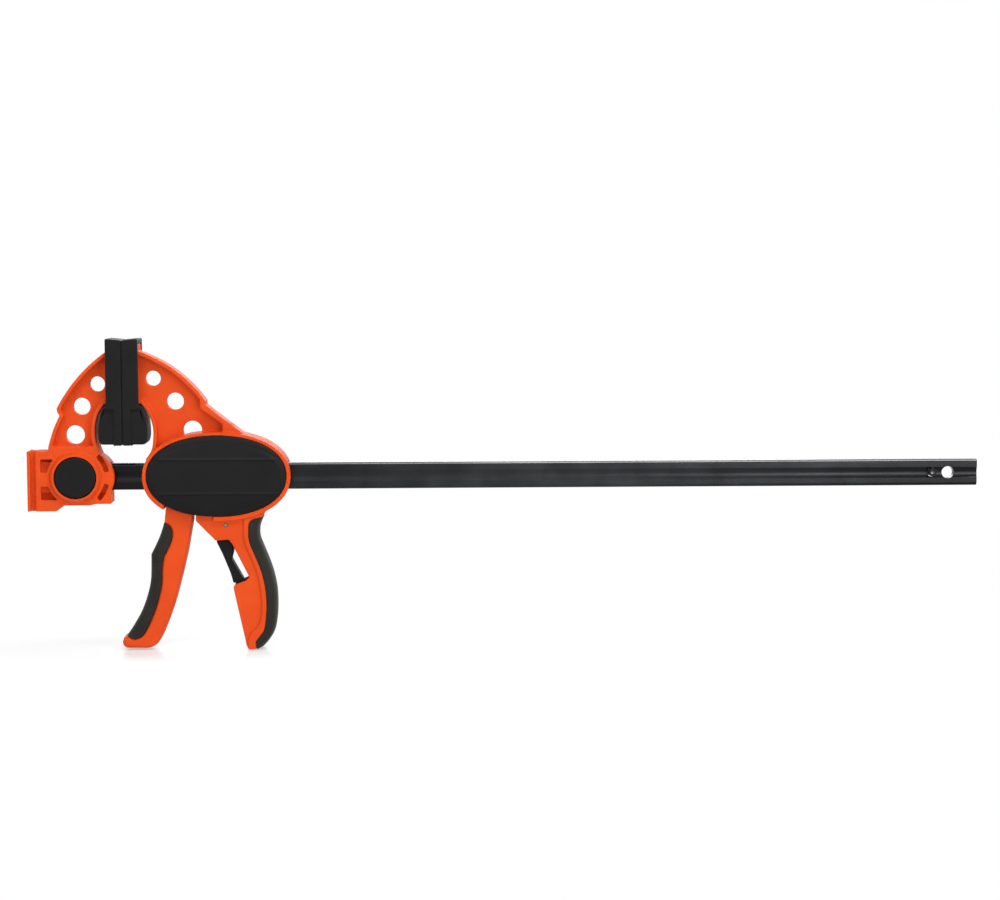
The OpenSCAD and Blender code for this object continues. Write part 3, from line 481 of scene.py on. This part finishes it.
def even_normals(piece):
    """Lets large flat faces decide the shading, so that they look flat up to the edge."""
    normals = piece.modifiers.new("flat faces stay flat", "WEIGHTED_NORMAL")
    normals.mode = "FACE_AREA"


# %% [markdown]
# A simple shape is rounded by a Bevel modifier. A bevel works on real edges, so the triangles
# of each flat face are joined again first. Each sharp edge then gets a weight, and the weight
# times the widest radius is the radius that it gets. The pads and the trigger get about a
# millimetre. The bar's solid is round at the corners, so only the edges of its groove, its
# hole and its ends are eased.

# %% Rounded by a bevel
FLAT_DEGREES = 0.5
SHARP_DEGREES = 35


def weigh_edges(work, sharp_degrees=SHARP_DEGREES, weight=None):
    """Joins flat faces and gives sharp edges a bevel weight: 1, or weight(middle of edge)."""
    bmesh.ops.dissolve_limit(work, angle_limit=math.radians(FLAT_DEGREES), verts=work.verts,
                             edges=work.edges, use_dissolve_boundaries=False)
    weights = work.edges.layers.float.new("bevel_weight_edge")
    for edge in work.edges:
        if len(edge.link_faces) == 2 and edge.calc_face_angle() > math.radians(sharp_degrees):
            edge[weights] = weight((edge.verts[0].co + edge.verts[1].co) / 2) if weight else 1


def add_bevel(piece, name, radius_mm, segments):
    """A Bevel modifier that follows the edges' weights."""
    bevel = piece.modifiers.new(name, "BEVEL")
    bevel.width = radius_mm * MM
    bevel.segments = segments
    bevel.limit_method = "WEIGHT"
    bevel.use_clamp_overlap = False
    bevel.loop_slide = False


def bevelled(node, name, material, radius_mm, sharp_degrees=SHARP_DEGREES):
    """A copy of a solid whose sharp edges have one radius."""
    piece, work = copy_of(node, name)
    weigh_edges(work, sharp_degrees)
    settle(piece, work, material)
    add_bevel(piece, "rounded edges", radius_mm, 4)
    even_normals(piece)


bevelled("fixed_jaw_pad", "fixed_pad_boot", pad_rubber, 1.1)
bevelled("moving_jaw_pad", "moving_pad_boot", pad_rubber, 1.1)
bevelled("bar", "flat_steel_bar", oxide_steel, 0.25)
bevelled("stop_pin", "coiled_stop_pin", oxide_steel, 0.15, sharp_degrees=50)
bevelled("trigger_pin", "trigger_pin_end", plate_steel, 0.2)
bevelled("release_button", "push_button", black_nylon, 0.4)
bevelled("release_trigger", "trigger_lever", black_nylon, 0.9)

# %% [markdown]
# The nylon mouldings and the grips have pockets, ribs and small corners where bevels would
# run into each other. They are filled with small cubes instead, and the skin of those cubes
# is smoothed, which rounds every edge by about the size of a few cubes. Then flat stretches
# lose the points that they don't need. A piece with rounder long edges is bevelled first.

# %% Rounded by a remesh
CUBE = 0.4 * MM
FACES_KEPT = 0.14


def smoothed(node, name, material, passes, kept=FACES_KEPT, radius_mm=0, weight=None):
    """A copy with every edge rounded: more passes for rounder, kept is the share of faces."""
    piece, work = copy_of(node, name)
    if radius_mm:
        weigh_edges(work, weight=weight)
    settle(piece, work, material)
    if radius_mm:
        add_bevel(piece, "round long edges", radius_mm, 6)
    cubes = piece.modifiers.new("fill with cubes", "REMESH")
    cubes.mode = "VOXEL"
    cubes.voxel_size = CUBE
    cubes.use_smooth_shade = True
    smooth = piece.modifiers.new("smooth the skin", "SMOOTH")
    smooth.factor = 0.5
    smooth.iterations = passes
    thin = piece.modifiers.new("fewer faces", "DECIMATE")
    thin.ratio = kept
    even_normals(piece)
    return piece


print("cubes across the clamp:", round((cad_high.y - cad_low.y) / CUBE))

# %% [markdown]
# Each cover is a hollow oval shell whose face is crossed by two low ribs. They stiffen the
# panel and hide the flow marks of the plastic. The solid has the flat face only. Ribs added
# on top would make the clamp wider, so the skin is sunk half a millimetre everywhere but
# along the ribs, which are left standing. That takes many points, so it comes before the
# faces are thinned.

# %% Covers with two ribs
RIB_LEVELS = (12.9 * MM, -11.3 * MM)
RIB_HALF = 0.8 * MM
FACE_FROM, FACE_TO = 15.2 * MM, 15.9 * MM
SUNK = 0.5 * MM
COVER_FACES_KEPT = 0.25


def ribbed(node, name, material):
    """A rounded cover with ribs across its face."""
    piece = smoothed(node, name, material, 4, kept=1)
    graph = bpy.context.evaluated_depsgraph_get()
    skin = bpy.data.meshes.new_from_object(piece.evaluated_get(graph))
    piece.modifiers.clear()
    piece.data = skin
    for point in skin.vertices:
        share = min(max((abs(point.co.y) - FACE_FROM) / (FACE_TO - FACE_FROM), 0), 1)
        rib = max(math.exp(-((point.co.z - level) / RIB_HALF) ** 2) for level in RIB_LEVELS)
        point.co.y -= math.copysign(SUNK * share * (1 - rib), point.co.y)
    thin = piece.modifiers.new("fewer faces", "DECIMATE")
    thin.ratio = COVER_FACES_KEPT
    even_normals(piece)


ribbed("front_cover", "front_cover_shell", black_nylon)
ribbed("rear_cover", "rear_cover_shell", black_nylon)
print("ribs at, in mm:", [round(level / MM, 1) for level in RIB_LEVELS])

# %% [markdown]
# The moving jaw, its housing and the rear handle are one moulding, and its many ribs only
# need the remesh. The squeeze lever lies in the fingers, so its long edges are much rounder
# and are bevelled first, except for the fork inside the housing. The grips are the softest
# to look at and are smoothed the most.

# %% Handle, lever and grips
HOUSING_FOOT = -33 * MM


def below_housing(point):
    """1 for a point under the housing, 0 for one inside it."""
    return 1.0 if point.z < HOUSING_FOOT else 0.0


smoothed("clamp_body", "moving_jaw_and_handle", orange_nylon, 4)
smoothed("squeeze_lever", "squeeze_lever_moulding", orange_nylon, 3, radius_mm=2.5, weight=below_housing)
smoothed("lever_grip", "lever_grip_rubber", grip_rubber, 5)
smoothed("handle_grip", "handle_grip_rubber", grip_rubber, 5)

# %% [markdown]
# The fixed jaw's block is cored out from both sides, which saves nylon and keeps the walls
# even: two windows lie behind the button's ring and two curved pockets in front of it. In
# the solid the curved pockets close to a point, and all four stop beside the bar. Here the
# curved ones are opened to even slots, and above and below the bar all four go on towards
# the middle, where they fall into shade. Closed blocks of those shapes are cut out of the
# copy before it is rounded, so that the cut edges are rounded too.

# %% Outlines of the pockets and windows
BUTTON_X = -33.8 * MM
RING_OUTSIDE = 20.1 * MM
OUTLINE_STEPS = 12
POCKET_RADII = (20.5 * MM, 23.6 * MM)
POCKET_ANGLES = ((11, 44.5), (-45, -12.5))
DEEP_POCKET_ANGLES = ((30, 44.5), (-45, -30))
CLEAR_OF_BAR = 10.9 * MM
WINDOWS = ((-58.2 * MM, 3.4 * MM, 12.9 * MM), (-58.0 * MM, -15.7 * MM, -6.4 * MM))
DEEP_WINDOWS = ((-58.2 * MM, CLEAR_OF_BAR, 12.9 * MM), (-58.0 * MM, -15.7 * MM, -CLEAR_OF_BAR))


def pocket_outline(angles):
    """The (x, z) points of a ring segment about the button's axis."""
    points = []
    for radius, start, end in ((POCKET_RADII[0], *angles), (POCKET_RADII[1], *angles[::-1])):
        for step in range(OUTLINE_STEPS + 1):
            angle = math.radians(start + (end - start) * step / OUTLINE_STEPS)
            points.append((BUTTON_X + radius * math.cos(angle), radius * math.sin(angle)))
    return points


def window_outline(left, low, high):
    """The (x, z) points of a window, which ends at the button's ring on its right."""
    points = [(left, high), (left, low)]
    for step in range(OUTLINE_STEPS + 1):
        level = low + (high - low) * step / OUTLINE_STEPS
        points.append((BUTTON_X - math.sqrt(RING_OUTSIDE ** 2 - level ** 2), level))
    return points


print("pockets:", len(POCKET_ANGLES), "windows:", len(WINDOWS), "on each side")

# %% [markdown]
# A floor is how far from the middle of the clamp a cut stops. Beside the bar it leaves a
# wall a millimetre thick. The cutter overlaps itself where a deep cut goes on from a shallow
# one, so the Boolean has to look for that. It is applied at once, and no cutter stays.

# %% Cuts in the fixed jaw
BESIDE_BAR_FLOOR = 4.4 * MM
DEEP_POCKET_FLOOR = 2.6 * MM
DEEP_WINDOW_FLOOR = 0.9 * MM
PAST_SKIN = 10.2 * MM


def add_block(work, outline, inner, outer):
    """A closed block between two planes at right angles to the clamp's width."""
    near, far = [[work.verts.new((x, y, z)) for x, z in outline] for y in (inner, outer)]
    work.faces.new(near)
    work.faces.new(far)
    for i, point in enumerate(near):
        work.faces.new((near[i - 1], point, far[i], far[i - 1]))


cuts = [(pocket_outline(angles), BESIDE_BAR_FLOOR) for angles in POCKET_ANGLES]
cuts += [(window_outline(*window), BESIDE_BAR_FLOOR) for window in WINDOWS]
cuts += [(pocket_outline(angles), DEEP_POCKET_FLOOR) for angles in DEEP_POCKET_ANGLES]
cuts += [(window_outline(*window), DEEP_WINDOW_FLOOR) for window in DEEP_WINDOWS]
work = bmesh.new()
for side in (-1, 1):
    for outline, stop in cuts:
        add_block(work, outline, side * stop, side * PAST_SKIN)
bmesh.ops.recalc_face_normals(work, faces=work.faces)
cutter = bpy.data.objects.new("pocket_cutter", bpy.data.meshes.new("pocket_cutter"))
work.to_mesh(cutter.data)
work.free()
bpy.context.scene.collection.objects.link(cutter)

jaw = smoothed("fixed_jaw", "fixed_jaw_moulding", orange_nylon, 4)
cut = jaw.modifiers.new("open the pockets", "BOOLEAN")
cut.operation = "DIFFERENCE"
cut.solver = "EXACT"
cut.use_self = True
cut.object = cutter
jaw.modifiers.move(len(jaw.modifiers) - 1, 0)
graph = bpy.context.evaluated_depsgraph_get()
jaw.data = bpy.data.meshes.new_from_object(jaw.evaluated_get(graph))
jaw.modifiers.clear()
bpy.data.objects.remove(cutter)
print("fixed jaw faces:", len(jaw.data.polygons))

# %% [markdown]
# ## Springs
# Each spring is held between a piece that stays and one that moves towards it. A solid
# can't shorten, and the coil would poke out through the button. Each spring gets a copy in
# drawn wire with a mesh of its own; the copy is not squashed here.

# %% Copies of the springs
def shortening(node, name):
    """A spring copy in drawn wire, with a mesh of its own."""
    piece, work = copy_of(node, name)
    settle(piece, work, wire_steel)
    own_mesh(piece)


shortening("button_spring", "button_cone_spring")
shortening("drive_spring", "drive_coil_spring")
shortening("brake_spring", "brake_coil_spring")

# %% [markdown]
# ## Pieces that stay as they are
# A few pieces lie inside the housing or sunk in the back of the block, where a sharp edge
# hardly shows. They need no copy, and their solids get a finish directly.

# %% Finishes on the solids
FINISHES = {
    "lock_bridge": black_nylon, "lock_pin": zinc_steel, "lever_pivot_pin": zinc_steel,
    "drive_plate": plate_steel, "brake_plate": plate_steel,
}
for node, material in FINISHES.items():
    data = nodes[node].data
    data.materials.clear()
    data.materials.append(material)
print("finished solids:", ", ".join(FINISHES))
